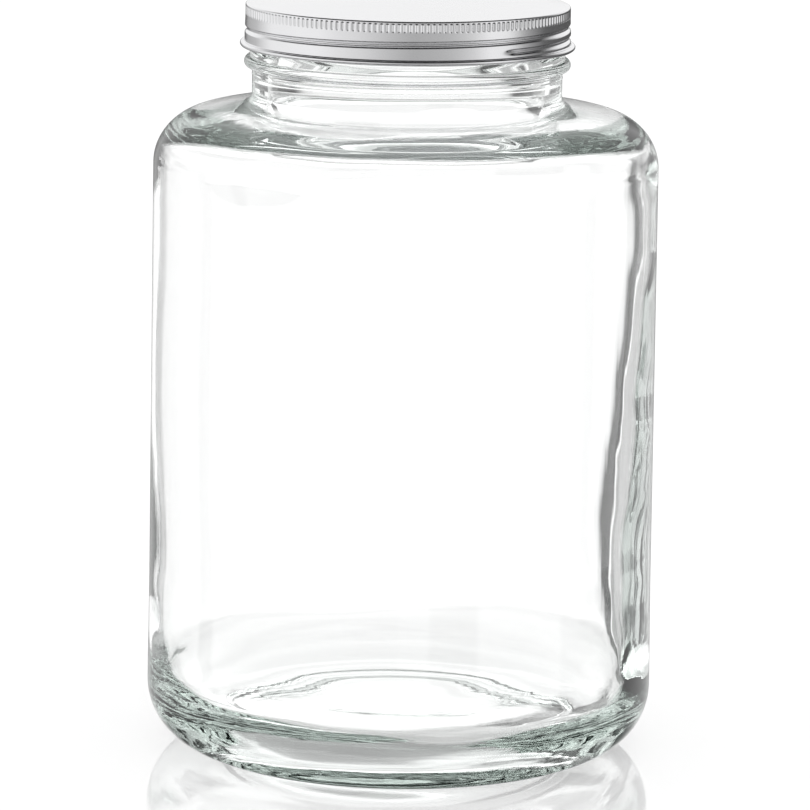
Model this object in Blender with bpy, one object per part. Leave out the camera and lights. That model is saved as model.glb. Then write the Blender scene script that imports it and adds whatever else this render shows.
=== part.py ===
"""A clear glass storage jar with a screwed-on aluminium lid, as two closed solids.

The origin is at the middle of the base, on the surface that the jar stands on, with +Z up.
The front is -Y. Both solids are turned profiles, so most sizes are radii and heights.
"""

import math

import bmesh
import bpy

MM = 0.001

# Glass jar, outside
BODY_RADIUS_LOW = 92.5 * MM
BODY_RADIUS_HIGH = 91.5 * MM
HEEL_ARC = 23.2 * MM
SHOULDER_START = 215.0 * MM
SHOULDER_ARC = 18.8 * MM
SHOULDER_SLOPE = math.radians(10)
NECK_FOOT_ARC = 3.6 * MM
NECK_RADIUS = 56.1 * MM
RING_RADIUS = 59.0 * MM
RING_HEIGHT = 251.7 * MM
RING_HALF = 1.9 * MM
RING_TOP_ANGLE = 65
COLLAR_RADIUS = 57.0 * MM
COLLAR_TOP = 257.8 * MM
COLLAR_BEVEL = 1.0 * MM
FINISH_RADIUS = 56.2 * MM
MOUTH_HEIGHT = 271.9 * MM
LIP_ARC = 1.5 * MM

# Glass jar, underside and inside
BEARING_INNER = 66.0 * MM
PUSH_UP_EDGE = 63.5 * MM
PUSH_UP_LIP = 1.2 * MM
PUSH_UP_HEIGHT = 5.0 * MM
WALL = 3.9 * MM
HEEL_WALL = 4.3 * MM
MOUTH_RADIUS = 51.6 * MM
THROAT_ARC = 5.0 * MM
INNER_HEEL_ARC = 24.0 * MM
FLOOR_EDGE = 10.0 * MM
FLOOR_MIDDLE = 14.0 * MM
FLOOR_DIP_RADIUS = 30.0 * MM

# Screw lid
LID_TOP = 273.0 * MM
LID_PANEL = 0.7 * MM
LID_EDGE_ARC = 0.9 * MM
LID_EDGE_ANGLE = 25
BAND_RADIUS = 58.7 * MM
SKIRT_RADIUS = 58.95 * MM
LID_BORE = 57.45 * MM
BORE_CORNER = 0.7 * MM
FLUTES_TOP = 272.0 * MM
FLUTES_FOOT = 268.9 * MM
FLUTE_COUNT = 180
FLUTE_DEPTH = 0.38 * MM
SKIRT_TOP = 268.3 * MM
CREASE_HEIGHT = 259.3 * MM
CREASE_MARGIN = 0.5 * MM
BEAD_RADIUS = 59.7 * MM
BEAD_HEIGHT = 258.35 * MM
BEAD_ARC = 0.9 * MM
BEAD_ANGLE = 110

# The lid's rolled thread, and the ridge on the glass that it runs under
THREAD_LEAD = 3.9 * MM
GROOVE_START = 261.1 * MM
GROOVE_ANGLE = math.radians(-56)
GROOVE_TURNS = 1.45
GROOVE_DEPTH = 0.95 * MM
GROOVE_HALF = 1.35 * MM
RIDGE_RISE = 1.95 * MM
RIDGE_TURNS = 1.1
RIDGE_DEPTH = 0.85 * MM
RIDGE_HALF = 1.3 * MM
THREAD_FADE = 0.05

# Fineness: sides of each solid, rows of its threaded walls and steps of its arcs
JAR_SEGMENTS = 60
LID_SEGMENTS = 72
FINISH_ROWS = 11
SKIRT_ROWS = 13
DOME_STEPS = 3
HEEL_STEPS = 8
SHOULDER_STEPS = 7
RING_STEPS = 5
BEAD_STEPS = 5
SMALL_ARC_STEPS = 3
LID_EDGE_STEPS = 2
SMOOTH_ANGLE = math.radians(35)
MERGE = 0.000001


def arc(centre_r, centre_z, radius, start, end, steps, height=None):
    """Points of (radius, height) along an arc, with its angles in degrees from the outward direction."""
    tall = radius if height is None else height
    turns = [math.radians(start + (end - start) * i / steps) for i in range(steps + 1)]
    return [(centre_r + radius * math.cos(t), centre_z + tall * math.sin(t)) for t in turns]


def levels(low, high, rows):
    return [low + (high - low) * i / rows for i in range(rows + 1)]


def turned(profile, segments):
    """A closed surface of revolution round Z. The profile starts and ends on the axis."""
    bm = bmesh.new()
    verts = [bm.verts.new((r, 0, z)) for r, z in profile]
    edges = [bm.edges.new(pair) for pair in zip(verts, verts[1:])]
    bmesh.ops.spin(
        bm,
        geom=verts + edges,
        cent=(0, 0, 0),
        axis=(0, 0, 1),
        angle=math.tau,
        steps=segments,
        use_merge=True,
    )
    bmesh.ops.remove_doubles(bm, verts=bm.verts, dist=MERGE)
    bmesh.ops.recalc_face_normals(bm, faces=bm.faces)
    return bm


def thread_share(angle, height, start_height, turns, half_width):
    """How much of its full depth a screw thread has at a place on the wall, from 0 to 1."""
    first = ((angle - GROOVE_ANGLE) / math.tau) % 1
    share = 0
    for turn in range(math.ceil(turns)):
        along = first + turn
        if along > turns:
            break
        away = abs(height - start_height - THREAD_LEAD * along) / half_width
        fade = min(1, along / THREAD_FADE, (turns - along) / THREAD_FADE)
        if away < 1:
            share = max(share, fade * (1 + math.cos(math.pi * away)) / 2)
    return share


def set_radius(vert, radius):
    scale = radius / math.hypot(vert.co.x, vert.co.y)
    vert.co.x *= scale
    vert.co.y *= scale


def jar_outside():
    """From the middle of the underside, round the heel and up to the lip."""
    heel = BODY_RADIUS_LOW - HEEL_ARC
    dome = [
        (PUSH_UP_EDGE * share, PUSH_UP_HEIGHT - (PUSH_UP_HEIGHT - PUSH_UP_LIP) * share**2)
        for share in levels(0, 1, DOME_STEPS)
    ]
    shoulder = BODY_RADIUS_HIGH - SHOULDER_ARC
    slope = math.degrees(SHOULDER_SLOPE)
    crown = arc(shoulder, SHOULDER_START, SHOULDER_ARC, 0, 90 - slope, SHOULDER_STEPS)
    foot_r = NECK_RADIUS + NECK_FOOT_ARC
    slope_r = foot_r - NECK_FOOT_ARC * math.sin(SHOULDER_SLOPE)
    slope_z = crown[-1][1] + (crown[-1][0] - slope_r) * math.tan(SHOULDER_SLOPE)
    foot_z = slope_z + NECK_FOOT_ARC * math.cos(SHOULDER_SLOPE)
    finish_rows = levels(COLLAR_TOP + COLLAR_BEVEL, MOUTH_HEIGHT - LIP_ARC, FINISH_ROWS)
    ring_reach = RING_RADIUS - NECK_RADIUS
    lip_r = FINISH_RADIUS - LIP_ARC
    return [
        *dome,
        (BEARING_INNER, 0),
        *arc(heel, HEEL_ARC, HEEL_ARC, -90, 0, HEEL_STEPS),
        *crown,
        *arc(foot_r, foot_z, NECK_FOOT_ARC, 270 - slope, 180, SMALL_ARC_STEPS),
        *arc(NECK_RADIUS, RING_HEIGHT, ring_reach, -90, RING_TOP_ANGLE, RING_STEPS, RING_HALF),
        (COLLAR_RADIUS, RING_HEIGHT + RING_HALF),
        (COLLAR_RADIUS, COLLAR_TOP),
        *((FINISH_RADIUS, z) for z in finish_rows),
        *arc(lip_r, MOUTH_HEIGHT - LIP_ARC, LIP_ARC, 0, 90, SMALL_ARC_STEPS)[1:],
    ]


def jar_inside():
    """From the lip down the neck, under the shoulder, down the wall and over the floor."""
    shoulder = BODY_RADIUS_HIGH - SHOULDER_ARC
    slope = math.degrees(SHOULDER_SLOPE)
    under = arc(shoulder, SHOULDER_START, SHOULDER_ARC - WALL, 90 - slope, 0, SHOULDER_STEPS)
    corner_z = under[0][1] + (under[0][0] - MOUTH_RADIUS) * math.tan(SHOULDER_SLOPE)
    throat_r = MOUTH_RADIUS + THROAT_ARC
    throat_z = corner_z + THROAT_ARC * (1 - math.sin(SHOULDER_SLOPE)) / math.cos(SHOULDER_SLOPE)
    heel_r = BODY_RADIUS_LOW - HEEL_WALL - INNER_HEEL_ARC
    heel_z = FLOOR_EDGE + INNER_HEEL_ARC
    lip_z = MOUTH_HEIGHT - LIP_ARC
    return [
        *arc(MOUTH_RADIUS + LIP_ARC, lip_z, LIP_ARC, 90, 180, SMALL_ARC_STEPS),
        *arc(throat_r, throat_z, THROAT_ARC, 180, 270 - slope, SMALL_ARC_STEPS),
        *under,
        *arc(heel_r, heel_z, INNER_HEEL_ARC, 0, -90, HEEL_STEPS),
        (FLOOR_DIP_RADIUS, (FLOOR_EDGE + FLOOR_MIDDLE) / 2),
        (0, FLOOR_MIDDLE),
    ]


def make_jar():
    bm = turned(jar_outside() + jar_inside(), JAR_SEGMENTS)
    for vert in bm.verts:
        radius = math.hypot(vert.co.x, vert.co.y)
        if vert.co.z < COLLAR_TOP or abs(radius - FINISH_RADIUS) > MERGE:
            continue
        angle = math.atan2(vert.co.y, vert.co.x)
        share = thread_share(
            angle, vert.co.z, GROOVE_START + RIDGE_RISE, RIDGE_TURNS, RIDGE_HALF
        )
        set_radius(vert, FINISH_RADIUS + RIDGE_DEPTH * share)
    return bm


def lid_profile():
    """From the middle of the top, down the outside, round the bead and up the bore."""
    edge_r = BAND_RADIUS - LID_EDGE_ARC
    panel_z = LID_TOP - LID_PANEL
    widen = (SKIRT_RADIUS - BAND_RADIUS) / SKIRT_ROWS
    skirt = [
        (BAND_RADIUS + widen * row, z)
        for row, z in enumerate(levels(SKIRT_TOP, CREASE_HEIGHT + CREASE_MARGIN, SKIRT_ROWS))
    ]
    return [
        (0, LID_TOP),
        *arc(edge_r, LID_TOP - LID_EDGE_ARC, LID_EDGE_ARC, 90, LID_EDGE_ANGLE, LID_EDGE_STEPS),
        (BAND_RADIUS, FLUTES_TOP),
        (BAND_RADIUS, FLUTES_FOOT),
        *skirt,
        (SKIRT_RADIUS, CREASE_HEIGHT),
        *arc(BEAD_RADIUS, BEAD_HEIGHT, BEAD_ARC, BEAD_ANGLE, -90, BEAD_STEPS),
        (LID_BORE + BORE_CORNER, BEAD_HEIGHT - BEAD_ARC),
        (LID_BORE, BEAD_HEIGHT),
        (LID_BORE, panel_z - BORE_CORNER),
        (LID_BORE - BORE_CORNER, panel_z),
        (0, panel_z),
    ]


def roll_thread(bm):
    """Presses the helical groove into the skirt."""
    for vert in bm.verts:
        radius = math.hypot(vert.co.x, vert.co.y)
        in_skirt = CREASE_HEIGHT + MERGE < vert.co.z < FLUTES_FOOT - MERGE
        if not in_skirt or radius < BAND_RADIUS - MERGE:
            continue
        angle = math.atan2(vert.co.y, vert.co.x)
        share = thread_share(angle, vert.co.z, GROOVE_START, GROOVE_TURNS, GROOVE_HALF)
        set_radius(vert, radius - GROOVE_DEPTH * share)


def cut_flutes(bm):
    """Splits the band's two rings into equal steps and presses in every second one."""
    rings = [
        edge
        for edge in bm.edges
        if all(
            abs(math.hypot(v.co.x, v.co.y) - BAND_RADIUS) < MERGE
            and min(abs(v.co.z - FLUTES_TOP), abs(v.co.z - FLUTES_FOOT)) < MERGE
            for v in edge.verts
        )
        and abs(edge.verts[0].co.z - edge.verts[1].co.z) < MERGE
    ]
    steps = 2 * FLUTE_COUNT
    bmesh.ops.subdivide_edges(bm, edges=rings, cuts=steps // LID_SEGMENTS - 1)
    for vert in bm.verts:
        on_ring = min(abs(vert.co.z - FLUTES_TOP), abs(vert.co.z - FLUTES_FOOT)) < MERGE
        if not on_ring or math.hypot(vert.co.x, vert.co.y) < LID_BORE + MERGE:
            continue
        step = round(math.atan2(vert.co.y, vert.co.x) / math.tau * steps)
        set_radius(vert, BAND_RADIUS - FLUTE_DEPTH * (step % 2))


def make_lid():
    bm = turned(lid_profile(), LID_SEGMENTS)
    roll_thread(bm)
    cut_flutes(bm)
    bmesh.ops.triangulate(bm, faces=[face for face in bm.faces if len(face.verts) > 4])
    return bm


def material(name, colour, roughness, metallic=0.0, transmission=0.0):
    made = bpy.data.materials.new(name)
    made.use_nodes = True
    shader = made.node_tree.nodes["Principled BSDF"]
    shader.inputs["Base Color"].default_value = (*colour, 1)
    shader.inputs["Roughness"].default_value = roughness
    shader.inputs["Metallic"].default_value = metallic
    shader.inputs["Transmission Weight"].default_value = transmission
    return made


def add_object(name, bm, finish):
    mesh = bpy.data.meshes.new(name)
    bm.to_mesh(mesh)
    bm.free()
    mesh.shade_smooth()
    mesh.set_sharp_from_angle(angle=SMOOTH_ANGLE)
    mesh.materials.append(finish)
    made = bpy.data.objects.new(name, mesh)
    bpy.context.scene.collection.objects.link(made)
    return made


def main():
    for old in list(bpy.data.objects):
        bpy.data.objects.remove(old)
    glass = material("clear_glass", (0.93, 0.97, 0.95), 0.03, transmission=1.0)
    aluminium = material("satin_aluminium", (0.80, 0.81, 0.82), 0.28, metallic=1.0)
    add_object("glass_jar", make_jar(), glass)
    add_object("screw_lid", make_lid(), aluminium)


main()
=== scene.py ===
# %% [markdown]
# # A glass storage jar with a screwed-on lid
#
# This lesson dresses two plain solids, a glass jar and its lid, so that they look like glass and
# metal. It shows how to turn a round shape from an outline, how to make glass uneven in the way
# that blown glass is, and how to light clear glass so that its edges can be seen at all.
# The frame gives the two solids in their real size and place, in metres. Their shapes are the
# rule here: a finer piece stands for each, with the same outline.

# %% Load the frame
import math
import random

import bmesh
import bpy
from mathutils import Matrix, Vector


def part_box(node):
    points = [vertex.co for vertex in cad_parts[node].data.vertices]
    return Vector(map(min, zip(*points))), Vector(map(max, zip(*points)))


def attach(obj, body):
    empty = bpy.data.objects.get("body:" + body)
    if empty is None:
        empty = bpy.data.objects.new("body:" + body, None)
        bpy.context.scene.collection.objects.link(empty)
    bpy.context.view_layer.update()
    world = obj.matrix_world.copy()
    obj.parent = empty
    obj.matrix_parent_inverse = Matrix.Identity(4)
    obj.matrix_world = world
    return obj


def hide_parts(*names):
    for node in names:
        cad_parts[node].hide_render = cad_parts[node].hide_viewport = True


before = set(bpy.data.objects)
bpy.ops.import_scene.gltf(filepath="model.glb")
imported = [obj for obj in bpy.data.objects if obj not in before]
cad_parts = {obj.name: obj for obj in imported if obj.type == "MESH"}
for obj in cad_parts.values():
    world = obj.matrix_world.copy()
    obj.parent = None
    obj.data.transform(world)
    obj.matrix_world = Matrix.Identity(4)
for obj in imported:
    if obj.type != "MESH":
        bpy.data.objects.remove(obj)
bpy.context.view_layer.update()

mm = 0.001
jar_low, jar_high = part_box("glass_jar")
lid_low, lid_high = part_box("screw_lid")
print("jar", round(jar_high.x * 2 / mm, 1), "mm wide, standing at", round(jar_low.z / mm, 1), "mm")
print("lid", round(lid_high.x * 2 / mm, 1), "mm wide, top at", round(lid_high.z / mm, 1), "mm")

# %% [markdown]
# ## Outlines from a few corners
#
# A jar and a lid are turned shapes: one outline goes round one axis. The outline could be
# typed as hundreds of points, but then nobody could read or change it. Here it is a short list
# of corners, as on a drawing. A vertex bevel rounds each corner, and long stretches are split
# into short steps, which gives later work something to bend.

# %% Outline helper
same_place = 0.001 * mm


def draw_outline(corners, steep_step, flat_step):
    """A wire from (radius, height, rounding, segments), rounded and split into short steps."""
    bm = bmesh.new()
    verts = [bm.verts.new((radius, 0, height)) for radius, height, _, _ in corners]
    for pair in zip(verts, verts[1:]):
        bm.edges.new(pair)
    for vert, (_, _, rounding, segments) in zip(verts, corners):
        if rounding:
            bmesh.ops.bevel(
                bm,
                geom=[vert],
                offset=rounding,
                offset_type="OFFSET",
                segments=segments,
                profile=0.5,
                affect="VERTICES",
                material=-1,
            )
    for edge in list(bm.edges):
        start, end = (vert.co for vert in edge.verts)
        steep = abs(start.z - end.z) > abs(start.x - end.x)
        cuts = int(edge.calc_length() / (steep_step if steep else flat_step))
        if cuts:
            bmesh.ops.subdivide_edges(bm, edges=[edge], cuts=cuts)
    return bm


def turn(bm, steps):
    """Spins the whole wire once round Z and closes the seam and the poles."""
    bmesh.ops.spin(
        bm,
        geom=bm.verts[:] + bm.edges[:],
        cent=(0, 0, 0),
        axis=(0, 0, 1),
        angle=math.tau,
        steps=steps,
        use_merge=True,
    )
    bmesh.ops.remove_doubles(bm, verts=bm.verts, dist=same_place)
    bmesh.ops.recalc_face_normals(bm, faces=bm.faces)


trial_corners = [(0, 0, 0, 0), (30 * mm, 0, 8 * mm, 6), (30 * mm, 20 * mm, 0, 0)]
trial = draw_outline(trial_corners, 5 * mm, 5 * mm)
print("three corners become", len(trial.verts), "points")
trial.free()

# %% [markdown]
# ## Places on a turned shape
#
# On a turned skin it is easier to think in an angle, a radius and a height than in X, Y and Z.
# These small functions go from one to the other, and fade an effect in or out smoothly, so that
# no wave or thread begins with a step.

# %% Place helpers
def place(vert):
    """A vertex as (angle, radius, height)."""
    return math.atan2(vert.co.y, vert.co.x), math.hypot(vert.co.x, vert.co.y), vert.co.z


def set_radius(vert, radius):
    scale = radius / math.hypot(vert.co.x, vert.co.y)
    vert.co.x *= scale
    vert.co.y *= scale


def smooth_step(value):
    value = min(1, max(0, value))
    return value * value * (3 - 2 * value)


def fade_in(value, start, span):
    """0 up to the start, 1 once the span is behind, and smooth in between."""
    return smooth_step((value - start) / span)


def fade_out(value, end, span):
    """1 until the span begins, 0 from the end on, and smooth in between."""
    return smooth_step((end - value) / span)


print("a quarter of the way in:", fade_in(0.25, 0, 1), "and out:", fade_out(0.25, 1, 1))

# %% [markdown]
# ## Screw threads
#
# The lid is held by one long thread. On the glass it is a low ridge, and on the lid it is a
# groove rolled into the thin metal, which starts with a rounded end. Both follow one helix, so
# one function says how deep the thread is at any place on the wall.

# %% Thread helper
thread_lead = 3.9 * mm
groove_start = 261.1 * mm
groove_angle = math.radians(-56)
thread_ends = 0.02


def thread_share(angle, height, start_height, turns, half_width):
    """How much of its full depth the thread has here, from 0 to 1."""
    first = ((angle - groove_angle) / math.tau) % 1
    share = 0
    for turn_number in range(math.ceil(turns)):
        along = first + turn_number
        if along > turns:
            break
        fade = min(smooth_step(along / thread_ends), smooth_step((turns - along) / thread_ends))
        away = abs(height - start_height - thread_lead * along) / half_width
        if away < 1:
            share = max(share, fade * (1 + math.cos(math.pi * away)) / 2)
    return share


quarter = thread_share(groove_angle + math.tau / 4, thread_lead / 4, 0, 1, mm)
print("a quarter turn along, the thread has", round(quarter, 3), "of its depth")

# %% [markdown]
# ## The outside of the glass
#
# A mould shapes the outside, so it is true and smooth: a rounded heel, a wall that narrows by
# a millimetre on its way up, a soft shoulder, a short neck with a ring, and the finish that
# takes the lid. The ring stops the lid's edge from being knocked. Fine lines under the ring
# are where the parts of the mould met.

# %% Jar outside
body_low = jar_high.x
body_high = body_low - 1.0 * mm
mouth = jar_high.z
neck = 56.1 * mm
collar = 57.0 * mm
ring = 59.0 * mm
finish = 56.2 * mm
lip = neck - 2.2 * mm
seam_line = 0.14 * mm

outside_corners = [
    (0, 5.0 * mm, 0, 0),
    (40 * mm, 3.9 * mm, 12 * mm, 6),
    (63.0 * mm, 1.3 * mm, 1.6 * mm, 4),
    (66.4 * mm, 0, 0.8 * mm, 4),
    (body_low, 0, 23.2 * mm, 26),
    (body_low, 34 * mm, 8 * mm, 6),
    (body_low - 0.35 * mm, 52 * mm, 8 * mm, 6),
    (body_high, 230.8 * mm, 15.8 * mm, 26),
    (neck, 237.0 * mm, 3.6 * mm, 10),
    (neck, 246.9 * mm, 0, 0),
    (neck + seam_line, 247.2 * mm, 0, 0),
    (neck, 247.5 * mm, 0, 0),
    (neck, 249.9 * mm, 0.4 * mm, 3),
    (ring, 250.1 * mm, 1.5 * mm, 8),
    (ring, 253.4 * mm, 1.5 * mm, 8),
    (collar, 253.8 * mm, 0.35 * mm, 3),
    (collar, 257.8 * mm, 0.4 * mm, 3),
    (finish, 258.8 * mm, 0.4 * mm, 3),
    (finish, mouth, 1.5 * mm, 8),
    (lip, mouth, 0, 0),
]
jar_steps = 256
outside_step = 6 * mm
outside_flat_step = 8 * mm


def make_outside():
    bm = draw_outline(outside_corners, outside_step, outside_flat_step)
    turn(bm, jar_steps)
    return bm


print("the outside has", len(outside_corners), "corners and goes up to", round(mouth / mm, 1), "mm")

# %% [markdown]
# ## The inside of the glass
#
# Air shapes the inside, so it is never true. The glass is thin on one side and heavy on the
# other, it sags towards the base, and it is full of soft waves. That unevenness is what bends
# the light into dark ribbons and bright streaks, so it is made as real thickness and not
# painted on. It starts from a true outline, as the outside does.

# %% Jar inside
thin_wall = 2.5 * mm
neck_wall = 1.6 * mm
throat = 51.6 * mm
inner_low = body_low - thin_wall - 0.5 * mm
inner_high = body_high - thin_wall
inside_corners = [
    (lip, mouth, 0, 0),
    (throat, mouth, 1.6 * mm, 8),
    (throat, 234.0 * mm, 5 * mm, 12),
    (inner_high, 227.2 * mm, 11 * mm, 24),
    (inner_low, 10.0 * mm, 24 * mm, 26),
    (46 * mm, 10.6 * mm, 10 * mm, 8),
    (14 * mm, 14.2 * mm, 10 * mm, 6),
    (0, 14.4 * mm, 0, 0),
]
inside_step = 2.4 * mm
print("the wall is", round(thin_wall / mm, 1), "mm before any waves")

# %% [markdown]
# ## Waves in the glass
#
# Each wave runs round the jar and up it at once, like the stripes on a barber's pole. A few
# together look like chance. Their phases are drawn from a seeded generator, so the jar comes
# out the same every time. The slow ones are everywhere. The others belong to the heavy side,
# the creases above the base, the shoulder and the heel.

# %% Waves
dice = random.Random(11)


def make_waves(listed):
    """Waves from (count round the jar, height of one wave in mm, depth in mm)."""
    return [
        (around, math.tau / (rise * mm), depth * mm, dice.uniform(0, math.tau))
        for around, rise, depth in listed
    ]


slow_waves = make_waves([
    (1, 260, 0.10),
    (2, 170, 0.10),
    (3, 120, 0.08),
    (5, 90, 0.05),
])
heavy_waves = make_waves([
    (2, 95, 0.16),
    (3, 60, 0.10),
    (5, 38, 0.05),
    (9, 24, 0.02),
    (14, 60, 0.03),
])
crease_waves = make_waves([
    (13, 37, 0.07),
    (21, 23, 0.04),
])
shoulder_waves = make_waves([
    (3, 60, 0.30),
    (5, 41, 0.20),
    (9, 26, 0.06),
    (14, 20, 0.03),
])
heel_waves = make_waves([
    (2, 34, 0.45),
    (3, 19, 0.25),
    (5, 12, 0.12),
    (9, 9, 0.05),
    (15, 15, 0.03),
])


def sum_waves(waves, angle, height):
    total = 0
    for number, (around, upward, depth, phase) in enumerate(waves):
        total += depth * math.cos(around * angle + upward * height * (-1) ** number + phase)
    return total


halfway = jar_high.z / 2
print("slow waves half way up:", round(sum_waves(slow_waves, 0, halfway) / mm, 2), "mm")

# %% [markdown]
# ## The heavy side
#
# When a jar is blown, one side often keeps more glass. Seen from the front, such a wedge bends
# the light sideways like a prism, and its edge shows as a dark ribbon from top to bottom. Here
# the wedge starts at a rounded edge, whose reach round the jar changes with the height, and
# gets steadily thicker from there.

# %% Heavy side
heavy_slope = 0.082
heavy_steeper = 0.26
heavy_rounding = math.radians(2.0)
heavy_crown = math.radians(10)
# How far the heavy glass reaches round the jar, in degrees from its middle, at rising heights.
heavy_reach = [
    (0, 27),
    (30, 29),
    (45, 30.8),
    (90, 30.4),
    (100, 28.6),
    (112, 25.0),
    (124, 22.8),
    (168, 21.0),
    (186, 13.0),
    (201, 13.0),
    (210, 10.0),
    (238, 8),
]
# Waves of that edge: (height of one wave in mm, degrees, phase on the one face and the other).
edge_waves = [(61, 0.9, 0.0, 0.9), (27, 0.45, 1.1, 2.4)]
# Past this many roundings the rounded edge can't be told from a straight slope.
far_inside = 20


def reach_at(height):
    """The heavy side's reach at a height, in degrees."""
    for (low, low_reach), (high, high_reach) in zip(heavy_reach, heavy_reach[1:]):
        if height < high * mm:
            share = smooth_step((height / mm - low) / (high - low))
            return low_reach + (high_reach - low_reach) * share
    return heavy_reach[-1][1]


def heavy_glass(angle, height):
    """Extra glass on the heavy side: nothing up to a rounded edge, then steadily more."""
    reach = reach_at(height)
    for rise, degrees, front, back in edge_waves:
        phase = front if angle < 0 else back
        reach += degrees * math.sin(math.tau * height / (rise * mm) + phase)
    inside = (math.radians(reach) - math.hypot(angle, heavy_crown)) / heavy_rounding
    rounded = inside if inside > far_inside else math.log1p(math.exp(inside))
    depth = heavy_rounding * rounded
    return body_low * (heavy_slope * depth + heavy_steeper * depth * depth / 2)


print("extra glass at its thickest:", round(heavy_glass(0, halfway) / mm, 1), "mm")

# %% [markdown]
# ## Pushing the inner skin
#
# Every point of the inner skin is pushed into the hollow along its own normal, by the sum of
# the heavy side and the waves that belong to its place. Each kind fades in and out over some
# distance. The side opposite the heavy one is a little thinner than the rest. The outside
# stays true, so only the thickness of the glass changes.

# %% Inner skin
# Where each kind begins or ends, and over what distance it fades, in metres.
heavy_above = (20 * mm, 18 * mm)
full_heavy_waves = 3 * mm
thinner = 0.5 * mm
thinner_above = (60 * mm, 40 * mm)
heel_below = (48 * mm, 30 * mm)
heel_outside = (58 * mm, 22 * mm)
creases_below = (74 * mm, 30 * mm)
creases_above = (18 * mm, 16 * mm)
creases_beside = (0.75, 0.2)
shoulder_above = (205 * mm, 14 * mm)
shoulder_outside = (60 * mm, 12 * mm)
body_below = (236 * mm, 14 * mm)
neck_below = (mouth - 9 * mm, 8 * mm)
calm_middle = 60 * mm
hollow_middle = Vector((0, 0, 120 * mm))


def inner_push(angle, radius, height):
    """How far the inner skin lies inside its true shape, in metres."""
    heavy = heavy_glass(angle, height)
    push = heavy * fade_in(height, *heavy_above)
    push -= thinner * smooth_step(-math.cos(angle)) * fade_in(height, *thinner_above)
    push += sum_waves(slow_waves, angle, height)
    push += sum_waves(heavy_waves, angle, height) * min(1, heavy / full_heavy_waves)
    heel = fade_out(height, *heel_below) * fade_in(radius, *heel_outside)
    push += sum_waves(heel_waves, angle, height) * heel
    creases = fade_out(height, *creases_below) * fade_in(height, *creases_above)
    beside = fade_in(abs(math.cos(angle)), *creases_beside)
    push += sum_waves(crease_waves, angle, height) * creases * beside
    shoulder = fade_in(height, *shoulder_above) * fade_in(radius, *shoulder_outside)
    push += sum_waves(shoulder_waves, angle, height) * shoulder
    return push


def make_inside():
    bm = draw_outline(inside_corners, inside_step, inside_step)
    turn(bm, jar_steps)
    bmesh.ops.recalc_face_normals(bm, faces=bm.faces)
    for vert in bm.verts:
        angle, radius, height = place(vert)
        inward = vert.normal.copy()
        if inward.dot(hollow_middle - vert.co) < 0:
            inward.negate()
        in_body = fade_out(height, *body_below)
        in_neck = fade_out(height, *neck_below)
        off_axis = smooth_step(radius / calm_middle)
        push = in_body * off_axis * inner_push(angle, radius, height)
        push += (1 - in_body) * in_neck * (neck_wall + sum_waves(slow_waves, angle, height))
        vert.co += inward * push
    return bm


print("push at the heavy side, half way up:", round(inner_push(0, inner_low, halfway) / mm, 1), "mm")

# %% [markdown]
# ## Joining the two skins
#
# Light is bent right only by a closed body of glass. So the two skins are welded at the lip
# into one mesh, whose faces all point out of the glass: away from the axis on the outside, and
# into the hollow on the inside. The thread's ridge is raised last, on the finish alone.

# %% Joined glass
skins_meet = 0.002 * mm
on_surface = 0.01 * mm
ridge_above = 258.5 * mm
ridge_rise = 1.95 * mm
ridge_turns = 1.1
ridge_depth = 0.85 * mm
ridge_half = 1.3 * mm


def add_piece(name, bm, material):
    mesh = bpy.data.meshes.new(name)
    bm.to_mesh(mesh)
    bm.free()
    mesh.shade_smooth()
    mesh.materials.append(material)
    made = bpy.data.objects.new(name, mesh)
    bpy.context.scene.collection.objects.link(made)
    print(name, len(mesh.polygons), "faces")
    return made


def make_glass(material):
    bm = make_outside()
    inside = make_inside()
    spare = bpy.data.meshes.new("inner_skin")
    inside.to_mesh(spare)
    inside.free()
    bm.from_mesh(spare)
    bpy.data.meshes.remove(spare)
    bmesh.ops.remove_doubles(bm, verts=bm.verts, dist=skins_meet)
    bmesh.ops.recalc_face_normals(bm, faces=bm.faces)
    for vert in bm.verts:
        angle, radius, height = place(vert)
        if abs(radius - finish) < on_surface and height > ridge_above:
            share = thread_share(
                angle, height, groove_start + ridge_rise, ridge_turns, ridge_half
            )
            set_radius(vert, finish + ridge_depth * share)
    return add_piece("clear_jar", bm, material)


# %% [markdown]
# ## Shader maths in plain Python
#
# Materials are node trees, and long ones are hard to read as code. This small class wraps one
# socket and overloads the usual signs, so that a formula written in Python becomes a chain of
# Math nodes. Any other node comes from one method, which sets the node's own settings first
# and its sockets after.

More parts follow.
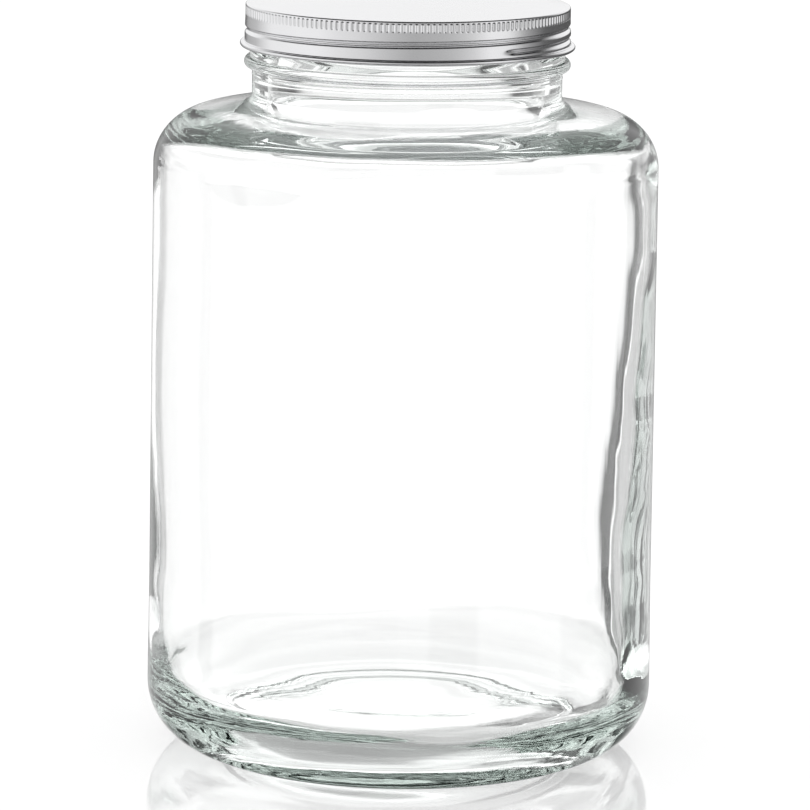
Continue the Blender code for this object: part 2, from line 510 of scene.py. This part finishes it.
# %% Shader helper
class Wire:
    """One output socket in a node tree, with arithmetic."""

    def __init__(self, tree, socket=None):
        self.tree = tree
        self.socket = socket

    def node(self, kind, settings=None, inputs=None, output=0):
        """Any node. A ramp's stops come as (degrees, light), with degrees from -180 to 180."""
        made = self.tree.nodes.new(kind)
        for key, value in (settings or {}).items():
            if key == "stops":
                ramp = made.color_ramp.elements
                ramp.remove(ramp[1])
                ramp[0].position = value[0][0] / 360 + 0.5
                ramp[0].color = (*[value[0][1]] * 3, 1)
                for degrees, light in value[1:]:
                    ramp.new(degrees / 360 + 0.5).color = (light, light, light, 1)
            else:
                setattr(made, key, value)
        for key, value in (inputs or {}).items():
            if isinstance(value, Wire):
                self.tree.links.new(value.socket, made.inputs[key])
            else:
                made.inputs[key].default_value = value
        return Wire(self.tree, made.outputs[output])

    def math(self, operation, *values):
        return self.node("ShaderNodeMath", {"operation": operation}, dict(enumerate(values)))

    def __add__(self, other):
        return self.math("ADD", self, other)

    def __sub__(self, other):
        return self.math("SUBTRACT", self, other)

    def __rsub__(self, other):
        return self.math("SUBTRACT", other, self)

    def __mul__(self, other):
        return self.math("MULTIPLY", self, other)

    def __truediv__(self, other):
        return self.math("DIVIDE", self, other)

    __radd__ = __add__
    __rmul__ = __mul__

    def between(self, low, high):
        """0 below low, 1 above high, and smooth in between."""
        return self.node(
            "ShaderNodeMapRange",
            {"interpolation_type": "SMOOTHSTEP"},
            {"Value": self, "From Min": low, "From Max": high},
        )

    def noise(self, stretch, size=1.0, **inputs):
        """Noise at this place, finer along an axis the larger its stretch is."""
        stretched = self.node(
            "ShaderNodeMapping", {"vector_type": "POINT"}, {"Vector": self, "Scale": stretch}
        )
        return self.node("ShaderNodeTexNoise", None, {"Vector": stretched, "Scale": size, **inputs})


def new_material(name):
    made = bpy.data.materials.new(name)
    made.use_nodes = True
    tree = made.node_tree
    return made, tree, tree.nodes["Principled BSDF"], tree.nodes["Material Output"]


# %% [markdown]
# ## Clear glass
# Soda-lime glass is clear through a few millimetres and grey-green through a few centimetres,
# because it holds a little iron. A colour on the surface would tint thin and thick glass
# alike, so the tint is a volume that absorbs light along the way. Very shallow dimples on the
# surface break up the long reflections a little, as on a jar from a mould, and folds near the
# heel show where the glass was chilled first. Where the glass is seen edge-on, its surface
# colour is painted dark grey-green: painted shade that stands in for the dark edges of thick glass.

# %% Glass material
glass_tint = (0.42, 0.49, 0.455, 1)
glass_density = 11.0
glass_index = 1.52
dimples = (60, 60, 60)
drawn_lines = (170, 170, 5)
heel_folds = (26, 26, 215)
dimple_share = 0.022
fold_share = 0.26
folds_fade = (0.012, 0.050)
dimple_height = 0.6 * mm
clear_face = (1, 1, 1, 1)
# The clear colour goes over to this painted shade where the glass is seen edge-on.
painted_edge_shade = (0.16, 0.18, 0.17, 1)
edge_shade_fade = (0.92, 0.995)


def make_glass_material():
    made, tree, shader, output = new_material("soda_lime_glass")
    spot = Wire(tree).node("ShaderNodeTexCoord", output="Object")
    up = spot.node("ShaderNodeSeparateXYZ", inputs={"Vector": spot}, output=2)
    near_heel = 1 - up.between(*folds_fade)
    height = dimple_share * spot.noise(dimples, Detail=1.0)
    height = height + dimple_share * spot.noise(drawn_lines, Detail=2.0)
    height = height + near_heel * fold_share * spot.noise(heel_folds, Detail=2.5)
    bump = spot.node(
        "ShaderNodeBump", inputs={"Height": height, "Strength": 1.0, "Distance": dimple_height}
    )
    # Painted shade: the colour turns dark grey-green as the surface turns edge-on, for the dark
    # edges of thick glass.
    facing = spot.node("ShaderNodeLayerWeight", inputs={"Blend": 0.5}, output=1)
    painted_edge_mix = spot.node(
        "ShaderNodeMix",
        {"data_type": "RGBA"},
        {"Factor": facing.between(*edge_shade_fade), "A": clear_face, "B": painted_edge_shade},
        output=2,
    )
    tree.links.new(painted_edge_mix.socket, shader.inputs["Base Color"])
    shader.inputs["Roughness"].default_value = 0.0
    shader.inputs["IOR"].default_value = glass_index
    shader.inputs["Transmission Weight"].default_value = 1.0
    tree.links.new(bump.socket, shader.inputs["Normal"])
    absorb = tree.nodes.new("ShaderNodeVolumeAbsorption")
    absorb.inputs["Color"].default_value = glass_tint
    absorb.inputs["Density"].default_value = glass_density
    tree.links.new(absorb.outputs[0], output.inputs["Volume"])
    print(made.name, len(tree.nodes), "nodes")
    return made


# %% Jar
jar = make_glass(make_glass_material())
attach(jar, "root")
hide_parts("glass_jar")

# %% [markdown]
# ## The lid
#
# The real lid is one round of thin aluminium sheet, drawn into a shallow cup. Rolls press a
# fluted band under its top edge for grip and the thread into its skirt, and the raw edge is
# curled outwards into a bead. So the lid is made the same way: one skin is turned, the flutes
# and the thread are pressed into it, and only then does it get the thickness of the sheet.

# %% Lid outline
lid_top = lid_high.z
band = 58.7 * mm
skirt = 58.95 * mm
bead_reach = lid_high.x
bead_arc = 0.9 * mm
bead_middle = lid_low.z + bead_arc
bead_top = bead_middle + bead_arc
flutes_top = lid_top - 0.75 * mm
flutes_foot = 268.9 * mm
sheet = 0.32 * mm
lid_steps = 360
lid_step = 0.28 * mm
lid_flat_step = 8 * mm
near_band = 0.9 * band

lid_corners = [
    (0, lid_top, 0, 0),
    (band - 0.15 * mm, lid_top, 0.5 * mm, 5),
    (band, flutes_top, 0, 0),
    (band, flutes_foot, 0, 0),
    (band, flutes_foot - 0.6 * mm, 0, 0),
    (skirt, 262.0 * mm, 0, 0),
    (skirt, bead_top, 0.35 * mm, 4),
    (bead_reach, bead_top, 0.88 * mm, 8),
    (bead_reach, lid_low.z, 0.88 * mm, 8),
    (skirt - 0.4 * mm, lid_low.z, 0.5 * mm, 4),
    (skirt - 0.4 * mm, bead_middle + 0.4 * mm, 0, 0),
]
print("the lid's bead stands out", round((bead_reach - skirt) / mm, 2), "mm from its skirt")

# %% [markdown]
# ## Flutes and thread
#
# A flute is a short dent with a rounded foot that fades out at the lid's top edge. It is only
# a few tenths of a millimetre deep, so the band needs more columns of faces than the rest of
# the lid. Those are cut in the band alone, to keep the piece light.

# %% Lid
flute_count = 180
flute_depth = 0.42 * mm
flute_half = 0.36
flute_foot_rise = 0.7 * mm
flute_fade = 0.25 * mm
band_cuts = 3
groove_turns = 1.45
groove_depth = 0.95 * mm
groove_half = 1.35 * mm


def in_flutes(height):
    return flutes_foot - on_surface < height < flutes_top + on_surface


def press_lid(bm):
    """Presses the flutes and the thread into the turned skin."""
    pitch = math.tau / flute_count
    for vert in bm.verts:
        angle, radius, height = place(vert)
        if radius < band - on_surface:
            continue
        if in_flutes(height):
            across = abs((angle / pitch) % 1 - 0.5) * pitch * radius
            below = max(0, flutes_foot + flute_foot_rise - height)
            away = math.hypot(across, below) / (pitch * radius * flute_half)
            fade = smooth_step((flutes_top - height) / flute_fade)
            set_radius(vert, radius - flute_depth * (1 - smooth_step(away)) * fade)
        elif bead_top < height < flutes_foot:
            share = thread_share(angle, height, groove_start, groove_turns, groove_half)
            set_radius(vert, radius - groove_depth * share)


def make_lid(material):
    bm = draw_outline(lid_corners, lid_step, lid_flat_step)
    turn(bm, lid_steps)
    in_band = [
        edge
        for edge in bm.edges
        if all(place(v)[1] > band - on_surface and in_flutes(v.co.z) for v in edge.verts)
        and abs(edge.verts[0].co.z - edge.verts[1].co.z) < same_place
    ]
    bmesh.ops.subdivide_edges(bm, edges=in_band, cuts=band_cuts)
    for vert in bm.verts:
        angle, radius, height = place(vert)
        if in_flutes(height) and radius > near_band:
            set_radius(vert, band)
    press_lid(bm)
    bmesh.ops.triangulate(bm, faces=[face for face in bm.faces if len(face.verts) > 4])
    bmesh.ops.recalc_face_normals(bm, faces=bm.faces)
    made = add_piece("rolled_lid", bm, material)
    shell = made.modifiers.new("sheet", "SOLIDIFY")
    shell.thickness = sheet
    shell.offset = -1
    return made


# %% [markdown]
# ## Satin aluminium
#
# Rolled and lacquered sheet is neither a mirror nor matt. Its reflections are soft, and they
# run along the rolling and turning marks, so the finish is a metal with low roughness, very
# fine rings that change the roughness, and a light bump.

# %% Aluminium material
turning_marks = (6, 6, 900)
no_stretch = (1, 1, 1)
cloud_size = 90.0
darker_metal = (0.80, 0.80, 0.815, 1)
paler_metal = (0.86, 0.86, 0.87, 1)
least_rough = 0.13
marks_share = 0.08
cloud_share = 0.04
marks_strength = 0.12
marks_height = 0.05 * mm


def make_aluminium():
    made, tree, shader, _ = new_material("satin_aluminium")
    spot = Wire(tree).node("ShaderNodeTexCoord", output="Object")
    marks = spot.noise(turning_marks, Detail=3.0, Roughness=0.6)
    cloud = spot.noise(no_stretch, cloud_size, Detail=4.0)
    rough = least_rough + marks_share * marks + cloud_share * cloud
    tone = spot.node(
        "ShaderNodeMix",
        {"data_type": "RGBA"},
        {"Factor": cloud, "A": darker_metal, "B": paler_metal},
        output=2,
    )
    bump = spot.node(
        "ShaderNodeBump",
        inputs={"Height": marks, "Strength": marks_strength, "Distance": marks_height},
    )
    tree.links.new(rough.socket, shader.inputs["Roughness"])
    tree.links.new(tone.socket, shader.inputs["Base Color"])
    tree.links.new(bump.socket, shader.inputs["Normal"])
    shader.inputs["Metallic"].default_value = 1.0
    print(made.name, len(tree.nodes), "nodes")
    return made


# %% Screwed-on lid
lid = make_lid(make_aluminium())
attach(lid, "root")
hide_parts("screw_lid")

# %% [markdown]
# ## Floor
#
# The jar stands on a plain pale sheet with a faint shine, which glows a little so that it
# comes out nearly white. It lies just under the jar, so the two never share a face. Light that
# has gone through the glass, or that the lid reflects, doesn't see the floor: what such light
# sees is set by the world below, so that it can be steered by direction alone.

# %% Floor
floor_reach = 2.0
floor_gap = 0.1 * mm
floor_segments = 96
floor_grey = (0.44, 0.44, 0.44, 1)
floor_glow = 0.55
shine_share = 0.37
shine_roughness = 0.06


def floor_material():
    made, tree, shader, output = new_material("pale_floor")
    shader.inputs["Base Color"].default_value = floor_grey
    shader.inputs["Specular IOR Level"].default_value = 0.0
    shader.inputs["Roughness"].default_value = 1.0
    shader.inputs["Emission Color"].default_value = (1, 1, 1, 1)
    shader.inputs["Emission Strength"].default_value = floor_glow
    shine = tree.nodes.new("ShaderNodeBsdfGlossy")
    shine.inputs["Roughness"].default_value = shine_roughness
    shine.inputs["Color"].default_value = (1, 1, 1, 1)
    mix = tree.nodes.new("ShaderNodeMixShader")
    mix.inputs[0].default_value = shine_share
    tree.links.new(shader.outputs[0], mix.inputs[1])
    tree.links.new(shine.outputs[0], mix.inputs[2])
    tree.links.new(mix.outputs[0], output.inputs["Surface"])
    return made


bm = bmesh.new()
bmesh.ops.create_circle(
    bm,
    cap_ends=True,
    segments=floor_segments,
    radius=floor_reach,
    matrix=Matrix.Translation((0, 0, -floor_gap)),
)
floor = add_piece("floor", bm, floor_material())
floor.visible_glossy = False
floor.visible_transmission = False

# %% [markdown]
# ## Light that the glass bends
#
# Clear glass is seen only by what it bends. In an all-white room it all but vanishes, so in a
# studio a white screen stands behind it, with something dark beside the screen. The eye then
# sees white wherever the glass lets light pass almost straight, and a dark line where it bends
# the light past the edge of the screen.
#
# Here the screen is a lane of light in the world, for light that has passed through glass
# only. The main lane is straight behind the jar. On its right come a dark gap, a thin bright
# line and a long grey card, and on its left stands one short card. Three more lanes, each with
# a gap and a card on its right, serve other sides from which the jar is looked at.

# %% Lanes near the ground
# Angles are degrees round the jar from straight behind it, clockwise from above.
# Side lanes: (middle of the lane, end of its gap, end of its card).
side_lanes = [(-90, -75.5, -72), (-45, -34, -33), (135, 149.5, 165)]
lane_light = 0.77
steep_lane_light = 0.65
lane_half = 6.8
gap_from = 7.6
gap_light = 0.02
card_light = 0.30
card_edge = 0.5
dim_card_light = 0.15
left_card_from = -32.5
low_card_end = -26
steep_card_end = -16
main_gap_end = 15.0
bright_line = (15.4, 16.4)
long_card = (16.8, 99.5)


def low_stops(main_light, left_card_end):
    """Stops of (degrees, light) for light that comes from below the horizon."""
    stops = []
    for lane, gap_end, card_end in side_lanes:
        stops += [(lane - lane_half, lane_light), (lane + lane_half, lane_light)]
        stops += [(lane + gap_from, gap_light), (gap_end, gap_light)]
        stops += [(card_end - card_edge, card_light), (card_end, 1)]
    stops += [(left_card_from, dim_card_light), (left_card_end, dim_card_light)]
    stops += [(left_card_end + 1, 1), (-lane_half, main_light), (lane_half, main_light)]
    stops += [(gap_from, gap_light), (main_gap_end, gap_light)]
    stops += [(bright_line[0], 1), (bright_line[1], 1)]
    stops += [(long_card[0], card_light), (long_card[1], card_light)]
    stops += [(long_card[1] + card_edge, 1)]
    return stops


ground_stops = low_stops(lane_light, low_card_end)
print("stops near the ground:", len(ground_stops), "of the 32 that a ramp can hold")

# %% Lanes near the horizon
far_light = 0.9
high_lane_light = 0.66
gap_until = 14.5
card_from = 15.5
left_cards = (44, 46)
right_cards = (35, 40)


def high_stops():
    """Stops for light from near the horizon: a gap and a card on both sides of two lanes."""
    stops = []
    for lane in (-90, 0):
        stops += [(lane - left_cards[1], far_light), (lane - left_cards[0], dim_card_light)]
        stops += [(lane - card_from, dim_card_light), (lane - gap_until, gap_light)]
        stops += [(lane - gap_from, gap_light), (lane - lane_half, high_lane_light)]
        stops += [(lane + lane_half, high_lane_light), (lane + gap_from, gap_light)]
        stops += [(lane + gap_until, gap_light), (lane + card_from, dim_card_light)]
        stops += [(lane + right_cards[0], dim_card_light), (lane + right_cards[1], far_light)]
    return stops


print("stops near the horizon:", len(high_stops()))

# %% [markdown]
# ## The world by direction
#
# What light finds in the world depends on the way it goes: round the jar, and up or down. The
# ramps of the lanes give the first, and smooth bands of height the second. From the bottom up
# there is an even light far below, a band with the steep lanes, one with the low lanes, one
# with the high lanes, and then a plain bright wall.

# %% Light seen through glass
beneath_light = 0.45
lofty_gain = 0.8
ceiling_loss = 0.6
under_loss = 0.3
bent_strength = 1.55


def climb(low, high):
    """Two angles above the horizon in degrees, as heights on a ball of radius 1."""
    return math.sin(math.radians(low)), math.sin(math.radians(high))


# Where each band of height fades in or out: four counted down from the horizon, and four up.
steep_from = climb(15, 21)
steep_until = climb(28, 36)
beneath_from = climb(36, 46)
under_from = (0.60, 0.97)
high_from = climb(-8.0, -7.5)
wall_from = climb(2, 6)
lofty_from = climb(11, 19)
ceiling_from = (0.40, 0.75)


def light_round(heading, stops):
    """Light by the way round the jar, from 0 to 1 for a full turn."""
    return heading.node("ShaderNodeValToRGB", {"stops": stops}, {"Fac": heading})


def light_through_glass(heading, up):
    down = -1 * up
    low = light_round(heading, ground_stops)
    steep = light_round(heading, low_stops(steep_lane_light, steep_card_end))
    high = light_round(heading, high_stops())
    is_steep = down.between(*steep_from) * (1 - down.between(*steep_until))
    is_beneath = down.between(*beneath_from)
    is_under = down.between(*under_from)
    is_high = up.between(*high_from)
    is_wall = up.between(*wall_from)
    is_lofty = up.between(*lofty_from)
    is_ceiling = up.between(*ceiling_from)
    lanes = (low * (1 - is_steep) + steep * is_steep) * (1 - is_high) + high * is_high
    lanes = lanes * (1 - is_beneath) + beneath_light * is_beneath
    lit = lanes * (1 - is_wall) + far_light * is_wall * (1 + lofty_gain * is_lofty)
    return bent_strength * lit * (1 - ceiling_loss * is_ceiling) * (1 - under_loss * is_under)


print("the steep lanes fade in at", [round(height, 2) for height in steep_from], "down")

# %% [markdown]
# ## Light that surfaces reflect
#
# The lid's skirt is a soft mirror, so it shows whatever stands round the camera: two bright
# banks at the sides, grey between them, and dark behind. Its flat top reflects the back of the
# room, which is white. The glass reflects sharply, and there the same banks would be too
# loud, so sharp reflections get an even light that is weaker straight behind the jar.

# %% Light seen in reflections
# Degrees round the jar from the camera's side, and the light there.
glossy_stops = [
    (-180, 0.10),
    (-163, 0.15),
    (-155, 0.45),
    (-135, 0.55),
    (-113, 0.98),
    (-66, 1.0),
    (-49, 0.88),
    (-30, 0.76),
    (-13, 0.60),
    (4, 0.47),
    (30, 0.54),
    (48, 0.74),
    (60, 1.0),
    (76, 0.95),
    (90, 0.42),
    (98, 0.3),
    (112, 0.12),
    (180, 0.10),
]
sky_light = 1.02
fall_off = 0.95
sharp_light = 0.8
sharp_loss = 0.55
# Where each part fades in, on a ball of radius 1: upwards, downwards or away from the camera.
sky_above = (-0.01, 0.06)
sky_beyond = (0.5, 0.8)
overhead_from = (0.45, 0.65)
ground_from = (0.30, 0.50)
straight_behind = (0.93, 0.995)


def light_off_surfaces(heading, north, up, sharp):
    side = light_round(heading, glossy_stops)
    sky = up.between(*sky_above) * north.between(*sky_beyond)
    not_overhead = 1 - fall_off * up.between(*overhead_from)
    not_beneath = 1 - fall_off * (-1 * up).between(*ground_from)
    soft_mirror = (side * (1 - sky) + sky_light * sky) * not_overhead
    sharp_mirror = sharp_light - sharp_loss * north.between(*straight_behind)
    return (soft_mirror * (1 - sharp) + sharp_mirror * sharp) * not_beneath


print("reflections have", len(glossy_stops), "stops")

# %% World
seen_strength = 1.05
soft_strength = 1.25


def make_world():
    world = bpy.data.worlds.new("studio")
    world.use_nodes = True
    world.cycles.sampling_method = "NONE"
    bpy.context.scene.world = world
    tree = world.node_tree
    background = tree.nodes["Background"]
    direction = Wire(tree).node("ShaderNodeTexCoord", output="Generated")
    parts = tree.nodes.new("ShaderNodeSeparateXYZ")
    tree.links.new(direction.socket, parts.inputs[0])
    east, north, up = (Wire(tree, parts.outputs[i]) for i in range(3))
    path = tree.nodes.new("ShaderNodeLightPath")
    seen, soft, through, sharp = (
        Wire(tree, path.outputs["Is " + kind + " Ray"])
        for kind in ("Camera", "Diffuse", "Transmission", "Singular")
    )
    from_camera = east.math("ARCTAN2", east, -1 * north) / math.tau + 0.5
    from_behind = east.math("ARCTAN2", east, north) / math.tau + 0.5
    mirrored = (1 - seen) * (1 - soft) * (1 - through)
    strength = seen_strength * seen + soft_strength * soft
    strength = strength + light_through_glass(from_behind, up) * through * (1 - soft)
    strength = strength + light_off_surfaces(from_camera, north, up, sharp) * mirrored
    tree.links.new(strength.socket, background.inputs["Strength"])
    background.inputs["Color"].default_value = (1, 1, 1, 1)
    print("the world has", len(tree.nodes), "nodes")


make_world()

# %% [markdown]
# ## Camera
#
# A long lens from almost two metres, a little above the lid, keeps the walls nearly parallel
# and shows the jar's rings as flat ellipses. It looks down by ten degrees, and a small shift of
# the sensor sets where the jar stands in the picture.

# %% Camera
camera_back = 1.826
camera_height = 0.4755
camera_pitch = math.radians(10.2)
camera_roll = math.radians(0.85)
sensor_width = 36
picture = 810
focal_pixels = 5081
centre_x = 403.2
centre_y = 347.3

camera = bpy.data.cameras.new("camera")
camera.sensor_width = sensor_width
camera.lens = focal_pixels / picture * camera.sensor_width
camera.shift_x = (picture / 2 - centre_x) / picture
camera.shift_y = (centre_y - picture / 2) / picture
viewer = bpy.data.objects.new("camera", camera)
viewer.matrix_world = (
    Matrix.Translation((0, -camera_back, camera_height))
    @ Matrix.Rotation(math.pi / 2 - camera_pitch, 4, "X")
    @ Matrix.Rotation(camera_roll, 4, "Z")
)
bpy.context.scene.collection.objects.link(viewer)
bpy.context.scene.camera = viewer
print("lens", round(camera.lens, 1), "mm, shift", round(camera.shift_x, 4), round(camera.shift_y, 4))

# %% [markdown]
# ## Light paths and colours
#
# In thick glass light goes back and forth many times before it gets out. With few bounces
# allowed, those paths end in black, so many are allowed here. The plain view transform keeps
# the white of the studio white.

# %% Light paths and colours
most_bounces = 64
most_transparent = 16
cycles = bpy.context.scene.cycles
cycles.max_bounces = most_bounces
cycles.transmission_bounces = most_bounces
cycles.glossy_bounces = most_bounces
cycles.transparent_max_bounces = most_transparent
bpy.context.scene.view_settings.view_transform = "Standard"
print("light may bounce", cycles.max_bounces, "times")
